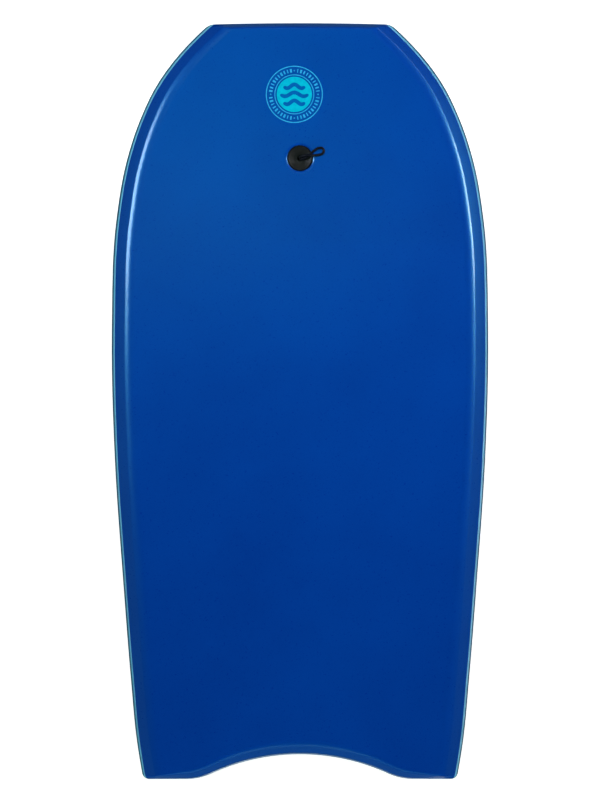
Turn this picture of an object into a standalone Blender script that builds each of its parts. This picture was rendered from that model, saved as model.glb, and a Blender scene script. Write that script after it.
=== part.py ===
"""A bodyboard: a foam core wrapped by a deck skin, six strips round its edge and a slick bottom.

The strips are an upper and a lower rail on each side, a nose bumper and a tail strip. A two-part
plug goes through the board near the nose and holds the string that a leash ties to.
Frame: metres, +Z up from the deck, +Y towards the nose, and the board is symmetric about X = 0.
The origin is under the middle of the board, in the plane that the flat part of the bottom rests on.
"""

import math
from functools import partial

import bpy
from mathutils import Matrix, Vector

MM = 0.001
GAP = 0.3 * MM  # between neighbouring pieces

# The board's plan, with distances along it counted from the line through the two tail pegs.
LENGTH = 1067 * MM
THICKNESS = 54 * MM
TAIL_CORNER_RADIUS = 11 * MM
TAIL_CORNER_X = 212.4 * MM  # centre of the corner's arc
CRESCENT_RADIUS = 300 * MM
CRESCENT_DEPTH = 34.8 * MM
PEG_FILLET = 85 * MM  # radius of the soft bend from the crescent to each tail peg
NOSE_CORNER_RADIUS = 25 * MM
NOSE_CORNER_X = 118.3 * MM
NOSE_CORNER_TURN = math.radians(22.5)  # from the front edge to the corner's middle
NOSE_SAGITTA = 1.6 * MM  # how far the front edge drops from its middle to its corners
SIDE_STATIONS = (  # distance from the tail, half width, in millimetres
    (9.2, 223.25), (55, 230.7), (141, 239), (281, 250.1), (450, 261.7), (640, 266),
    (789, 259.6), (874, 244.6), (930, 226.2), (987, 197.7), (1029, 165.2), (1058.1, 136),
)

# The nose curves up in front of this distance.
ROCKER_START = 735 * MM
ROCKER_RISE = 22 * MM

# Two shallow channels in the bottom fade out from the tail forwards.
CHANNEL_DEPTH = 5 * MM
CHANNEL_FLOOR = (0.42, 0.54)  # shares of the half width
CHANNEL_EDGE = (0.36, 0.60)
CHANNEL_FULL_TO, CHANNEL_FADES_AT = 0.19, 0.33  # shares of the length

# Grid lines across the half board and along it, as shares of the area inside the innermost ring.
HALF_COLUMNS = (0.2, 0.36, 0.42, 0.54, 0.60, 0.66, 0.73, 0.84, 0.93, 1)
COLUMNS = tuple(-c for c in reversed(HALF_COLUMNS)) + (0,) + HALF_COLUMNS
ROWS = (
    0, 0.006, 0.04, 0.1, 0.19, 0.33, 0.46, 0.6, 0.7, 0.78, 0.82, 0.86, 0.9, 0.935, 0.965, 0.985,
    0.995, 1,
)

# Rings run round the board: inset from the sides and height, in millimetres. At the nose and the
# tail each inset is a share of the side's, so the edges are steeper there.
NOSE_INSET_SHARE = 0.28
TAIL_INSET_SHARE = 0.65  # in the middle of the tail
PEG_INSET_SHARE = 0.25
RAIL_EDGE_INSET, CREST_INSET = 4 * MM, 19 * MM
NOSE_FLARE = 1.3 * MM  # how much farther in the deck's edge lies at the nose
FLARE_FROM, FLARE_TO = 930 * MM, 1035 * MM
SKIN_TOP = ((3.9, 37.3), (18.6, 50.2), (24, 52.7), (29, 53.8), (33, 54))
SKIN_UNDER = ((12.4, 37.3), (17.5, 43.15), (22.6, 49), (27.5, 49), (33, 49))
CORE_TOP = ((15.4, 40.1), (22.4, 48.65), (33, 48.65))
CORE_UNDER = ((15.4, 3.6), (22.4, 3.6), (33, 3.6))
BACKING_TOP = ((8.2, 3.3), (33, 3.3))
BACKING_UNDER = ((9.1, 1.3), (33, 1.3))
SLICK_TOP = ((9.2, 1), (33, 1))
SLICK_UNDER = ((9.7, 0), (33, 0))
LOWER_RAIL = ((8, 3.6), (2.7, 12.5), (0, 20), (2, 28), (15, 28), (15, 3.6))
UPPER_RAIL = ((2, 28.3), (3.8, 37), (12.9, 37), (15, 39.3), (15, 28.3))
END_STRIP = (
    (8, 3.6), (2.7, 12.5), (0, 20), (2, 28), (3.8, 37), (12.9, 37), (15, 39.3), (15, 3.6),
)
INNERMOST = 33
STRIP_END_STATIONS = (0, 0.25, 0.6)  # from a strip's mitre to the innermost ring's inset
SPLIT_RISING = (((0, 0), (1, 0), (1, 1)), ((0, 0), (1, 1), (0, 1)))
SPLIT_FALLING = (((0, 0), (1, 0), (0, 1)), ((1, 0), (1, 1), (0, 1)))
BOTTOM_LEVEL = 4  # rings under this height follow the channels

# The plug, on its own axis: radius and height from the deck's surface, in millimetres.
PLUG_FROM_NOSE = 191 * MM
TURN_STEPS = 24
PLUG_TOP_PROFILE = (
    (16.4, -0.4), (17.1, -2.2), (18, -2.5), (18, -3.2), (6.5, -3.2), (6.5, -34), (5.9, -36),
    (4, -36), (4, -3.9), (4.5, -2.8), (8.5, -2.4), (13, -1.3), (15.3, -0.5),
)
PLUG_BOTTOM_PROFILE = (
    (9, -14), (9, -50.7), (18, -50.7), (18, -52.9), (16.8, -53.6), (8.6, -53.6), (8, -53),
    (8, -43.5), (4, -43.5), (4, -38), (6.8, -38), (6.8, -14),
)
PLUG_HOLE_PROFILE = (
    (0, 2), (23.1, 2), (18.3, -2.3), (18.3, -3.5), (9.3, -3.5), (9.3, -50.6), (18.3, -50.6),
    (18.3, -58), (0, -58),
)

# The string is one cord, doubled through the plug and tied under it.
STRING_DIAMETER = 3.5 * MM
STRING_POINTS = 76
LOOP_HEADING = math.radians(20)  # from +X towards the nose
STRING_ROUTE = (  # along the loop, across it and up from the deck, in millimetres
    (0, -1.85, -42.4), (0, -1.85, -33), (0, -1.85, -23), (0, -1.85, -13), (0.1, -1.85, -7),
    (1.2, -1.85, -2.8), (4, -1.8, 0.7), (8, -1.5, 2.2), (12, -0.5, 2.3), (15.5, 0.9, 2.2),
    (19.5, 2.4, 2.2), (24, 3.8, 2.2), (29, 4.7, 2.2), (33.4, 3.7, 2.2), (35.4, 0, 2.2),
    (33.4, -3.7, 2.2), (29, -4.7, 2.4), (24, -3.8, 3.2), (19.5, -2.4, 4.8), (15.5, -0.9, 6.1),
    (12, 0.5, 6.4), (8, 1.5, 5.6), (4.2, 1.8, 3), (1.4, 1.85, -1.8), (0.1, 1.85, -7),
    (0, 1.85, -13), (0, 1.85, -23), (0, 1.85, -33), (0, 1.85, -42.4),
)
KNOT_PROFILE = ((0, -42.8), (3.6, -43.9), (5.6, -46.2), (5.6, -48.4), (3.8, -50.6), (0, -51.6))

COLOURS = {  # sRGB, roughness
    "deck_skin": ((0, 62, 155), 0.3),
    "nose_bumper": ((8, 70, 147), 0.4),
    "tail_strip": ((8, 70, 147), 0.4),
    "rail_left_lower": ((8, 62, 88), 0.5),
    "rail_left_upper": ((84, 170, 218), 0.4),
    "rail_right_lower": ((8, 62, 88), 0.5),
    "rail_right_upper": ((84, 170, 218), 0.4),
    "core": ((236, 238, 236), 0.8),
    "bottom_backing": ((225, 228, 230), 0.7),
    "slick_bottom": ((96, 176, 220), 0.2),
    "plug_top": ((22, 24, 28), 0.35),
    "plug_bottom": ((22, 24, 28), 0.35),
    "leash_string": ((10, 10, 16), 0.7),
    "string_knot": ((10, 10, 16), 0.7),
}


def clear_scene():
    for item in list(bpy.data.objects):
        bpy.data.objects.remove(item)
    for group in list(bpy.data.collections):
        bpy.data.collections.remove(group)


def new_collection(name):
    group = bpy.data.collections.new(name)
    bpy.context.scene.collection.children.link(group)
    return group


def linear(channel):
    """One sRGB channel of 0 to 255 as the linear value that a shader takes."""
    share = channel / 255
    return share / 12.92 if share <= 0.04045 else ((share + 0.055) / 1.055) ** 2.4


def make_material(name):
    colour, roughness = COLOURS[name]
    material = bpy.data.materials.new(name)
    material.use_nodes = True
    shader = material.node_tree.nodes["Principled BSDF"]
    shader.inputs["Base Color"].default_value = [linear(c) for c in colour] + [1]
    shader.inputs["Roughness"].default_value = roughness
    shader.inputs["Metallic"].default_value = 0
    return material


def smooth_through(points, count):
    """Points on a Catmull-Rom curve through the given ones, evenly spread over its spans."""
    ends = [2 * points[0] - points[1]] + list(points) + [2 * points[-1] - points[-2]]
    spans = len(points) - 1
    for step in range(count):
        place = step / (count - 1) * spans
        span = min(int(place), spans - 1)
        t = place - span
        a, b, c, d = ends[span : span + 4]
        yield (
            2 * b + (c - a) * t + (2 * a - 5 * b + 4 * c - d) * t**2 + (3 * b - a - 3 * c + d) * t**3
        ) / 2


def side_half_width(distance):
    """Half the board's width at a distance from the tail line."""
    first = SIDE_STATIONS[0][0] * MM
    if distance < first:
        rise = TAIL_CORNER_RADIUS - distance
        return TAIL_CORNER_X + math.sqrt(TAIL_CORNER_RADIUS**2 - rise**2)
    last = len(SIDE_STATIONS) - 1
    span = next((i for i in range(last) if distance <= SIDE_STATIONS[i + 1][0] * MM), None)
    if span is None:
        rise = distance - (LENGTH - NOSE_SAGITTA - NOSE_CORNER_RADIUS)
        return NOSE_CORNER_X + math.sqrt(NOSE_CORNER_RADIUS**2 - rise**2)
    (y0, w0), (y1, w1) = SIDE_STATIONS[span], SIDE_STATIONS[span + 1]
    t = (distance / MM - y0) / (y1 - y0)
    slope0, slope1 = station_slope(span) * (y1 - y0), station_slope(span + 1) * (y1 - y0)
    width = (
        w0 * (2 * t**3 - 3 * t**2 + 1)
        + slope0 * (t**3 - 2 * t**2 + t)
        + w1 * (3 * t**2 - 2 * t**3)
        + slope1 * (t**3 - t**2)
    )
    return width * MM


def station_slope(index):
    """The side's slope at a station: that of the parabola through it and its neighbours."""
    first = min(max(index, 1), len(SIDE_STATIONS) - 2)
    (y0, w0), (y1, w1), (y2, w2) = SIDE_STATIONS[first - 1 : first + 2]
    before, after = (w1 - w0) / (y1 - y0), (w2 - w1) / (y2 - y1)
    bend = (after - before) / (y2 - y0)
    return before + bend * (2 * SIDE_STATIONS[index][0] - y0 - y1)


PEG_START = math.sqrt(
    (CRESCENT_RADIUS + PEG_FILLET) ** 2 - (CRESCENT_RADIUS + PEG_FILLET - CRESCENT_DEPTH) ** 2
)
CRESCENT_END = PEG_START * CRESCENT_RADIUS / (CRESCENT_RADIUS + PEG_FILLET)
CORNER_LOW = TAIL_CORNER_RADIUS * (1 - math.sqrt(0.5))
CORNER_HIGH = LENGTH - NOSE_SAGITTA - NOSE_CORNER_RADIUS * (1 - math.cos(NOSE_CORNER_TURN))
SLANT_FROM, SLANT_TO = 0.013, CORNER_HIGH - 0.0075  # the side's slant is read clear of the corners


def tail_edge(share):
    """The tail's distance from its line, at a share of the half width."""
    x = abs(share) * side_half_width(CORNER_LOW)
    if x < CRESCENT_END:
        return CRESCENT_DEPTH - CRESCENT_RADIUS + math.sqrt(CRESCENT_RADIUS**2 - x**2)
    if x < PEG_START:
        return PEG_FILLET - math.sqrt(PEG_FILLET**2 - (PEG_START - x) ** 2)
    reach = max(x - TAIL_CORNER_X, 0)
    return TAIL_CORNER_RADIUS - math.sqrt(TAIL_CORNER_RADIUS**2 - reach**2)


def nose_edge(share):
    """The front edge's distance from the tail line, at a share of the half width."""
    x = abs(share) * side_half_width(CORNER_HIGH)
    reach = max(x - NOSE_CORNER_X, 0)
    drop = NOSE_SAGITTA * min(x / NOSE_CORNER_X, 1) ** 2
    return LENGTH - drop - NOSE_CORNER_RADIUS + math.sqrt(NOSE_CORNER_RADIUS**2 - reach**2)


def slant(function, place, step=0.002):
    """How much longer an inset is along an axis than square to the edge."""
    rise = function(place + step) - function(place - step)
    return math.hypot(1, rise / (2 * step))


def flared(inset, distance):
    """An inset from the side, with what the flare towards the nose adds to it."""
    inwards = (CREST_INSET - inset) / (CREST_INSET - RAIL_EDGE_INSET)
    lift = min(inset / RAIL_EDGE_INSET, max(inwards, 0))
    past = min(max((distance - FLARE_FROM) / (FLARE_TO - FLARE_FROM), 0), 1)
    return inset + NOSE_FLARE * lift * past**2 * (3 - 2 * past)


def plan_point(column, row, inset, end_inset):
    """A point of the plan, from its shares and its insets from the sides and from the ends."""
    run = nose_edge(column) - tail_edge(column)
    tail_share = TAIL_INSET_SHARE + (PEG_INSET_SHARE - TAIL_INSET_SHARE) * abs(column) ** 3
    low, high = tail_share * end_inset / run, 1 - NOSE_INSET_SHARE * end_inset / run
    along = low + row * (high - low)
    distance = CORNER_LOW + along * (CORNER_HIGH - CORNER_LOW)
    width = side_half_width(distance)
    inside = min(max(distance, SLANT_FROM), SLANT_TO)
    share = column * (1 - flared(inset, distance) * slant(side_half_width, inside) / width)
    return share * width, tail_edge(share) + along * (nose_edge(share) - tail_edge(share))


def rocker(distance):
    """How far the board has curved up at a distance from the tail line."""
    past = max(distance - ROCKER_START, 0) / (LENGTH - ROCKER_START)
    return ROCKER_RISE * past**2.4


def channel(column, row):
    """How deep the bottom's channels are at these shares."""
    off = abs(column)
    across = min(
        (off - CHANNEL_EDGE[0]) / (CHANNEL_FLOOR[0] - CHANNEL_EDGE[0]),
        (CHANNEL_EDGE[1] - off) / (CHANNEL_EDGE[1] - CHANNEL_FLOOR[1]),
        1,
    )
    along = min((CHANNEL_FADES_AT - row) / (CHANNEL_FADES_AT - CHANNEL_FULL_TO), 1)
    return CHANNEL_DEPTH * max(across, 0) * max(along, 0)


def board_point(column, row, inset, end_inset, height):
    """A point of the board from its shares across and along, and its insets and height in mm."""
    x, distance = plan_point(column, row, inset * MM, end_inset * MM)
    z = height * MM + rocker(distance)
    if height < BOTTOM_LEVEL:
        z += channel(column, row)
    return x, distance - LENGTH / 2, z


def mesh_object(name, points, faces, group):
    mesh = bpy.data.meshes.new(name)
    mesh.from_pydata(points, [], faces)
    mesh.materials.append(make_material(name))
    item = bpy.data.objects.new(name, mesh)
    group.objects.link(item)
    return item


def ring_lines(shares, rings):
    """Grid lines as a share and a ring: the rings at both ends, and the last ring in between."""
    last = len(rings) - 1
    edge = [(shares[0], ring) for ring in range(last)]
    middle = [(share, last) for share in shares]
    return edge + middle + [(shares[-1], ring) for ring in reversed(range(last))]


def make_layer(name, top, under, group):
    """A layer of the board between two surfaces, each given by its rings from the edge inwards."""
    columns, rows = ring_lines(COLUMNS, top), ring_lines(ROWS, top)
    points = []
    for rings in (top, under):
        for column, column_ring in columns:
            for row, row_ring in rows:
                inset, end_inset = rings[column_ring][0], rings[row_ring][0]
                height = rings[min(column_ring, row_ring)][1]
                points.append(board_point(column, row, inset, end_inset, height))
    wide, long = len(columns), len(rows)

    def index(surface, i, j):
        return surface * wide * long + i * long + j

    faces = []
    for i in range(wide - 1):
        for j in range(long - 1):
            # each square is split along the diagonal that points at the nearest corner of the board
            same_side = (i < wide // 2) == (j < long // 2)
            for half in SPLIT_RISING if same_side else SPLIT_FALLING:
                faces.append([index(0, i + a, j + b) for a, b in half])
                faces.append([index(1, i + a, j + b) for a, b in reversed(half)])
    rim = [(i, 0) for i in range(wide)] + [(wide - 1, j) for j in range(1, long)]
    rim += [(i, long - 1) for i in range(wide - 2, -1, -1)] + [(0, j) for j in range(long - 2, 0, -1)]
    for here, there in zip(rim, rim[1:] + rim[:1]):
        faces.append([index(1, *here), index(1, *there), index(0, *there), index(0, *here)])
    return mesh_object(name, points, faces, group)


def strip_stations(shares, length):
    """Stations along a strip, as a share and how far its insets are from its own to the innermost."""
    low, high = shares[0], shares[-1]
    trim = 1.3 * GAP / length * (high - low)
    start = [(low + (trim if blend == 0 else 0), blend) for blend in STRIP_END_STATIONS]
    end = [(high - (trim if blend == 0 else 0), blend) for blend in reversed(STRIP_END_STATIONS)]
    return start + [(share, 1) for share in shares] + end


def towards_innermost(inset, blend):
    return inset + (INNERMOST - inset) * blend


def side_strip_point(column, station, inset, height):
    row, blend = station
    return board_point(column, row, inset, towards_innermost(inset, blend), height)


def end_strip_point(row, station, inset, height):
    column, blend = station
    return board_point(column, row, towards_innermost(inset, blend), inset, height)


def make_strip(name, section, stations, place, group):
    """A strip along one edge: its closed section at each station, mitred at both ends."""
    points = [place(station, *ring) for station in stations for ring in section]
    sides = len(section)
    faces = []
    for step in range(len(stations) - 1):
        for k in range(sides):
            here, there = step * sides + k, step * sides + (k + 1) % sides
            faces.append([here, there, there + sides, here + sides])
    last = (len(stations) - 1) * sides
    for k in range(sides - 2):  # both ends are fans, so that the two strips of a mitre fit
        faces.append([sides - 1, k + 1, k])
        faces.append([last + sides - 1, last + k, last + k + 1])
    return mesh_object(name, points, faces, group)


def flip_if_inside_out(item):
    """Turns every face over on a solid whose faces point inwards."""
    mesh = item.data
    mesh.calc_loop_triangles()
    volume = 0
    for triangle in mesh.loop_triangles:
        a, b, c = (mesh.vertices[i].co for i in triangle.vertices)
        volume += a.dot(b.cross(c))
    if volume < 0:
        mesh.flip_normals()


def turned(name, profile, group, plug_axis, closed=True):
    """A profile of radius and height turned round the plug's axis."""
    mesh = bpy.data.meshes.new(name)
    count = len(profile)
    edges = [(i, i + 1) for i in range(count - 1)] + ([(count - 1, 0)] if closed else [])
    mesh.from_pydata([(radius * MM, 0, height * MM) for radius, height in profile], edges, [])
    item = bpy.data.objects.new(name, mesh)
    group.objects.link(item)
    item.parent = plug_axis
    screw = item.modifiers.new("turn", "SCREW")
    screw.axis = "Z"
    screw.angle = 2 * math.pi
    screw.steps = screw.render_steps = TURN_STEPS
    screw.use_merge_vertices = True
    screw.merge_threshold = 0.00001
    screw.use_smooth_shade = True
    return item


def make_plug_axis(group):
    """The empty on the plug's axis: square to the deck, with its origin on the deck's surface."""
    distance = LENGTH - PLUG_FROM_NOSE
    step = 1 * MM
    slope = (rocker(distance + step) - rocker(distance - step)) / (2 * step)
    axis = bpy.data.objects.new("plug_axis", None)
    group.objects.link(axis)
    axis.location = (0, distance - LENGTH / 2, THICKNESS + rocker(distance))
    axis.rotation_euler = (math.atan(slope), 0, 0)
    return axis


def make_string(group, plug_axis):
    """The doubled cord: up through the plug, out along its loop and back."""
    heading = Matrix.Rotation(LOOP_HEADING, 3, "Z")
    route = [heading @ (Vector(point) * MM) for point in STRING_ROUTE]
    curve = bpy.data.curves.new("leash_string", "CURVE")
    curve.dimensions = "3D"
    curve.bevel_depth = STRING_DIAMETER / 2
    curve.bevel_resolution = 2
    curve.use_fill_caps = True
    spline = curve.splines.new("POLY")
    spline.points.add(STRING_POINTS - 1)
    for point, place in zip(spline.points, smooth_through(route, STRING_POINTS)):
        point.co = (*place, 1)
    curve.materials.append(make_material("leash_string"))
    item = bpy.data.objects.new("leash_string", curve)
    group.objects.link(item)
    item.parent = plug_axis


def cut_plug_hole(item, cutter):
    cut = item.modifiers.new("plug_hole", "BOOLEAN")
    cut.operation = "DIFFERENCE"
    cut.object = cutter


def main():
    clear_scene()
    board = new_collection("bodyboard")
    cutters = new_collection("cutters")
    plug_axis = make_plug_axis(board)

    hole = turned("plug_hole_cutter", PLUG_HOLE_PROFILE, cutters, plug_axis, closed=False)
    hole.hide_render = True
    hole.display_type = "WIRE"

    layers = [
        make_layer("deck_skin", SKIN_TOP, SKIN_UNDER, board),
        make_layer("core", CORE_TOP, CORE_UNDER, board),
        make_layer("bottom_backing", BACKING_TOP, BACKING_UNDER, board),
        make_layer("slick_bottom", SLICK_TOP, SLICK_UNDER, board),
    ]
    for layer in layers:
        cut_plug_hole(layer, hole)

    sides = strip_stations(ROWS, LENGTH)
    ends = strip_stations(COLUMNS, 2 * NOSE_CORNER_X)
    left, right = partial(side_strip_point, -1), partial(side_strip_point, 1)
    strips = [
        make_strip("rail_left_lower", LOWER_RAIL, sides, left, board),
        make_strip("rail_left_upper", UPPER_RAIL, sides, left, board),
        make_strip("rail_right_lower", LOWER_RAIL, sides, right, board),
        make_strip("rail_right_upper", UPPER_RAIL, sides, right, board),
        make_strip("nose_bumper", END_STRIP, ends, partial(end_strip_point, 1), board),
        make_strip("tail_strip", END_STRIP, ends, partial(end_strip_point, 0), board),
    ]
    for strip in strips:
        flip_if_inside_out(strip)

    for name, profile, closed in (
        ("plug_top", PLUG_TOP_PROFILE, True),
        ("plug_bottom", PLUG_BOTTOM_PROFILE, True),
        ("string_knot", KNOT_PROFILE, False),
    ):
        turned(name, profile, board, plug_axis, closed).data.materials.append(make_material(name))
    make_string(board, plug_axis)


main()
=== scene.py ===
"""The looks of the bodyboard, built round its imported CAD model.

Every foam layer and rail is made again with the CAD model's own plan and finer, rounded sections.
The plug, its cord and knot, and a printed badge follow, then the materials, the stage and the camera.
Frame: metres, +Z up from the deck, +Y towards the nose, the board symmetric about X = 0.
"""

import math
from functools import partial

import bmesh
import bpy
from mathutils import Matrix, Vector

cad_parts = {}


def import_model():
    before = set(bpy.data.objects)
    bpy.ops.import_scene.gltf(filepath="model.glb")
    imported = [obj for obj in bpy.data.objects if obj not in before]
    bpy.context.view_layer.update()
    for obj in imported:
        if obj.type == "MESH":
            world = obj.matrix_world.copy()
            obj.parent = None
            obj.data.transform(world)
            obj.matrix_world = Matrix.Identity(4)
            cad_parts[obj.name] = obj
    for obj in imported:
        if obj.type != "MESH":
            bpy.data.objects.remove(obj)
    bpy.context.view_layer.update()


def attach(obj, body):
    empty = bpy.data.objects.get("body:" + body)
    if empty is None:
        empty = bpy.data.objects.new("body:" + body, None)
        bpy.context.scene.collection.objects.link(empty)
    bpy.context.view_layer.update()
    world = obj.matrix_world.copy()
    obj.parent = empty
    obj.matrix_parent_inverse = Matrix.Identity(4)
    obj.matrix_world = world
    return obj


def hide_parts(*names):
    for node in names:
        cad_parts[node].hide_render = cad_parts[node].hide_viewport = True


MM = 0.001
GAP = 0.3 * MM  # between neighbouring pieces
WHOLE_TURN = 2 * math.pi

# The board's plan, as in the CAD model: distances along it are counted from the tail's line.
LENGTH = 1067 * MM
THICKNESS = 54 * MM
TAIL_CORNER_RADIUS = 11 * MM
TAIL_CORNER_X = 212.4 * MM
CRESCENT_RADIUS = 300 * MM
CRESCENT_DEPTH = 34.8 * MM
PEG_FILLET = 85 * MM
NOSE_CORNER_RADIUS = 25 * MM
NOSE_CORNER_X = 118.3 * MM
NOSE_CORNER_TURN = math.radians(22.5)
NOSE_SAGITTA = 1.6 * MM
SIDE_STATIONS = (  # distance from the tail, half width, in millimetres
    (9.2, 223.25), (55, 230.7), (141, 239), (281, 250.1), (450, 261.7), (640, 266),
    (789, 259.6), (874, 244.6), (930, 226.2), (987, 197.7), (1029, 165.2), (1058.1, 136),
)
ROCKER_START = 735 * MM
ROCKER_RISE = 22 * MM
ROCKER_POWER = 2.4
CHANNEL_DEPTH = 5 * MM
CHANNEL_FLOOR = (0.42, 0.54)
CHANNEL_EDGE = (0.36, 0.60)
CHANNEL_FULL_TO, CHANNEL_FADES_AT = 0.19, 0.33
NOSE_INSET_SHARE = 0.28
TAIL_INSET_SHARE = 0.65
PEG_INSET_SHARE = 0.25
RAIL_EDGE_INSET, CREST_INSET = 4 * MM, 19 * MM
NOSE_FLARE = 1.3 * MM  # how much farther in the deck's edge lies at the nose
FLARE_FROM, FLARE_TO = 930 * MM, 1035 * MM
BOTTOM_LEVEL = 4  # millimetres; what is lower follows the channels
INNERMOST = 33  # the inset in millimetres where the layers' even grid starts
PEG_START = math.sqrt(
    (CRESCENT_RADIUS + PEG_FILLET) ** 2 - (CRESCENT_RADIUS + PEG_FILLET - CRESCENT_DEPTH) ** 2
)
CRESCENT_END = PEG_START * CRESCENT_RADIUS / (CRESCENT_RADIUS + PEG_FILLET)
CORNER_LOW = TAIL_CORNER_RADIUS * (1 - math.sqrt(0.5))
CORNER_HIGH = LENGTH - NOSE_SAGITTA - NOSE_CORNER_RADIUS * (1 - math.cos(NOSE_CORNER_TURN))
SLANT_FROM, SLANT_TO = 0.013, CORNER_HIGH - 0.0075  # the side's slant is read clear of the corners

# Sections across an edge: inset from the sides and height in millimetres, with each corner's radius.
SKIN_TOP = (
    ((8, 37.3), 0), ((3.8, 37.3), 0.5), ((18.6, 50.3), 8), ((25.6, 54), 27.5), ((INNERMOST, 54), 0),
)
SKIN_UNDER = (((12.4, 37.3), 0), ((22.6, 49), 1), ((INNERMOST, 49), 0))
CORE_TOP = (((15.4, 40.1), 0), ((22.4, 48.65), 1), ((INNERMOST, 48.65), 0))
CORE_UNDER = (((15.4, 3.6), 0), ((INNERMOST, 3.6), 0))
BACKING_TOP = (((8.2, 3.3), 0), ((INNERMOST, 3.3), 0))
BACKING_UNDER = (((9.1, 1.3), 0), ((INNERMOST, 1.3), 0))
SLICK_TOP = (((9.3, 1), 0), ((INNERMOST, 1), 0))
SLICK_UNDER = (((9.4, 0.75), 0), ((9.7, 0), 0.5), ((INNERMOST, 0), 0))
LOWER_RAIL = (
    ((8, 3.6), 0.8), ((2.7, 12.5), 28), ((-0.6, 20), 14), ((1.9, 28), 0.6), ((15, 28), 0.3),
    ((15, 3.6), 0.3),
)
UPPER_RAIL = (
    ((2.0, 28.3), 0.6), ((3.7, 37), 0.5), ((12.9, 37), 0.3), ((15, 39.3), 0.3), ((15, 28.3), 0.3),
)
END_STRIP = (
    ((8, 3.6), 0.8), ((2.7, 12.5), 28), ((-0.6, 20), 14), ((1.7, 28.4), 25), ((3.7, 37), 0.6),
    ((12.9, 37), 0.3), ((15, 39.3), 0.3), ((15, 3.6), 0.3),
)
ARC_STEPS = 8
LEAST_RINGS = 6  # of a layer, across its edge
BLEND_STEPS = 24  # from a strip's mitre to where its inset is the innermost one
MITRE_TRIM = 1.3 * GAP  # what a strip leaves free at each of its mitres

# The plug, on its own axis: radius and height from the deck's surface in millimetres, corner radius.
PLUG_FROM_NOSE = 191 * MM
TURN_STEPS = 96
PLUG_TOP_PROFILE = (
    ((16.4, -0.3), 0.5), ((17.1, -2.3), 0.4), ((18, -2.5), 0.2), ((18, -3.2), 0.2),
    ((6.5, -3.2), 0.4), ((6.5, -34), 0), ((5.9, -36), 0), ((4, -36), 0), ((4, -3.9), 0),
    ((4, -2.75), 0.8), ((8.5, -2.5), 6), ((13.4, -1.15), 6), ((15.4, -0.45), 0.4),
)
PLUG_BOTTOM_PROFILE = (
    ((9, -14), 0.3), ((9, -50.7), 0), ((18, -50.7), 0.3), ((18, -52.9), 0.5), ((16.8, -53.6), 0.4),
    ((8.7, -53.6), 0.5), ((8, -52.9), 0.3), ((8, -43.5), 0.3), ((4, -43.5), 0.5), ((4, -38), 0),
    ((6.8, -38), 0), ((6.8, -14), 0.3),
)
PLUG_HOLE_PROFILE = (
    ((0, 3), 0), ((24, 3), 0), ((24, 0.02), 0), ((20.2, 0.02), 6), ((18.35, -1.3), 0.3),
    ((18.35, -3.5), 0), ((9.3, -3.5), 0), ((9.3, -50.6), 0), ((18.35, -50.6), 0),
    ((18.35, -54), 0.8), ((24, -54), 0), ((24, -60), 0), ((0, -60), 0),
)

# The string: the route's points are the CAD model's.
STRING_DIAMETER = 3.5 * MM
LOOP_HEADING = math.radians(20)
STRING_ROUTE = (
    (0, -1.85, -42.4), (0, -1.85, -33), (0, -1.85, -23), (0, -1.85, -13), (0.1, -1.85, -7),
    (1.2, -1.85, -2.8), (4, -1.8, 0.7), (8, -1.5, 2.2), (12, -0.5, 2.3), (15.5, 0.9, 2.2),
    (19.5, 2.4, 2.2), (24, 3.8, 2.2), (29, 4.7, 2.2), (33.4, 3.7, 2.2), (35.4, 0, 2.2),
    (33.4, -3.7, 2.2), (29, -4.7, 2.4), (24, -3.8, 3.2), (19.5, -2.4, 4.8), (15.5, -0.9, 6.1),
    (12, 0.5, 6.4), (8, 1.5, 5.6), (4.2, 1.8, 3), (1.4, 1.85, -1.8), (0.1, 1.85, -7),
    (0, 1.85, -13), (0, 1.85, -23), (0, 1.85, -33), (0, 1.85, -42.4),
)
ROUTE_STEP = 0.25 * MM
SPAN_STEPS = 40  # of the curve between two of the route's points
CORD_SIDES = 40
BRAID_STRANDS = 4  # in each of the two directions
BRAID_PITCH = 7 * MM
BRAID_DEPTH = 0.09 * MM
BRAID_MEAN = 0.6  # the height of the braid's surface that lies on the string's radius
STRAND_SHAPE = 0.7  # a lower power makes a fuller strand
KNOT_HEIGHT = -47.4 * MM
KNOT_SIZE = 1.36 * MM  # of a trefoil that reaches 3 sizes from its axis
KNOT_RISE = 1.65 * MM
KNOT_REACH = 3 * MM  # how far the string goes on into its knot
KNOT_POINTS = 220
KNOT_ENDS = (  # the two cut ends that stick out of the knot, in millimetres on the plug's axis
    ("knot_end_1", ((0.5, -1.4, -46), (2.6, -3.8, -47.6), (3.6, -5.6, -49.6), (3.4, -6, -51.4))),
    ("knot_end_2", ((-0.5, 1.4, -46), (-2.8, 3.6, -47.8), (-4.2, 5, -49.8), (-4.4, 5.2, -51.2))),
)
END_ROUNDS = 5  # the rings over which a cut end is rounded

# The badge printed on the deck: radii and lengths in millimetres from its middle.
BADGE_X = -8 * MM
BADGE_FROM_NOSE = 101 * MM
BADGE_RINGS = ((38.8, 40.2), (26.8, 28.1))
BADGE_DISC = (0.5, 24.8)
BADGE_MARKS = 44
MARKS_TO_A_DOT = 11  # every eleventh mark is a dot, and the others are bars
DOT_PLACE = 33.4
DOT_RADII = (0.33, 1.1)
DOT_STEPS = 16
BAR_RADII = (30.9, 35.9)
BAR_WIDTHS = (4.6, 2.6, 3.6)  # in degrees, in turn
BAR_STEPS = 6
BADGE_WAVES = (  # level, half length, thickness, height
    (11.3, 15.2, 5.4, 2.7), (0, 20, 5.4, 2.7), (-11.3, 15.2, 5.4, 2.7),
)
WAVE_STEPS = 64
WAVE_TURN = 1.5 * math.pi  # from a wave's middle to its end
INK_THICKNESS = 0.08 * MM
INK_LIFT = 0.04 * MM

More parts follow.
